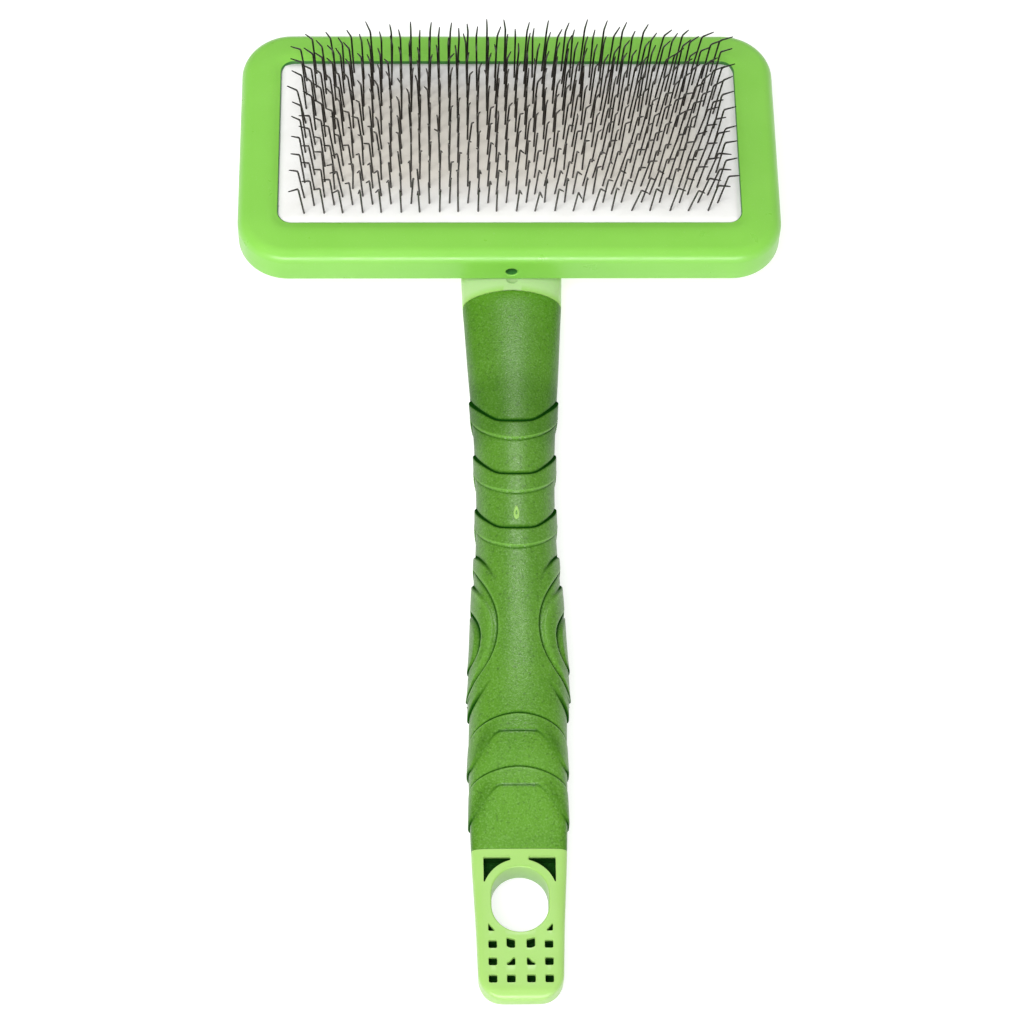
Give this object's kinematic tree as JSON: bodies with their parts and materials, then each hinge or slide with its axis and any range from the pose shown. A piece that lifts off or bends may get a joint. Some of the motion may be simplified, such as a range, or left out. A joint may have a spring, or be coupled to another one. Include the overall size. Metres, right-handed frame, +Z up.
{
  "type": "slicker brush",
  "caption": "Wide pet-grooming slicker brush: rounded rectangular head with long bent wire pins on a domed pad, soft ribbed grip and a hanging hole in the tail.",
  "frame": {"origin": "on the surface the brush lies on, under the middle of its bounding box", "axes": "+Z up along the pins, +Y from the tail to the head, +X across the head"},
  "size_m": [0.12, 0.23, 0.0401],
  "materials": {
    "frame_plastic": "satin moulded, mid green",
    "handle_plastic": "satin moulded, light green",
    "grip_rubber": "matte with a fine grain, dark green",
    "pad_rubber": "matte white laminate",
    "felt": "pressed felt",
    "foam": "open-cell foam",
    "pin_steel": "dark drawn wire"
  },
  "bodies": {
    "root": {"head_frame": "frame_plastic", "handle_body": "handle_plastic", "grip_sleeve": "grip_rubber", "pin_pad": "pad_rubber", "pad_backing": "felt", "foam_cushion": "foam", "pin_row_01": "pin_steel", "pin_row_02": "pin_steel", "pin_row_03": "pin_steel", "pin_row_04": "pin_steel", "pin_row_05": "pin_steel", "pin_row_06": "pin_steel", "pin_row_07": "pin_steel", "pin_row_08": "pin_steel", "pin_row_09": "pin_steel", "pin_row_10": "pin_steel", "pin_row_11": "pin_steel", "pin_row_12": "pin_steel", "pin_row_13": "pin_steel", "pin_row_14": "pin_steel", "pin_row_15": "pin_steel", "pin_row_16": "pin_steel", "pin_row_17": "pin_steel", "pin_row_18": "pin_steel", "pin_row_19": "pin_steel", "pin_row_20": "pin_steel"}
  },
  "joints": []
}
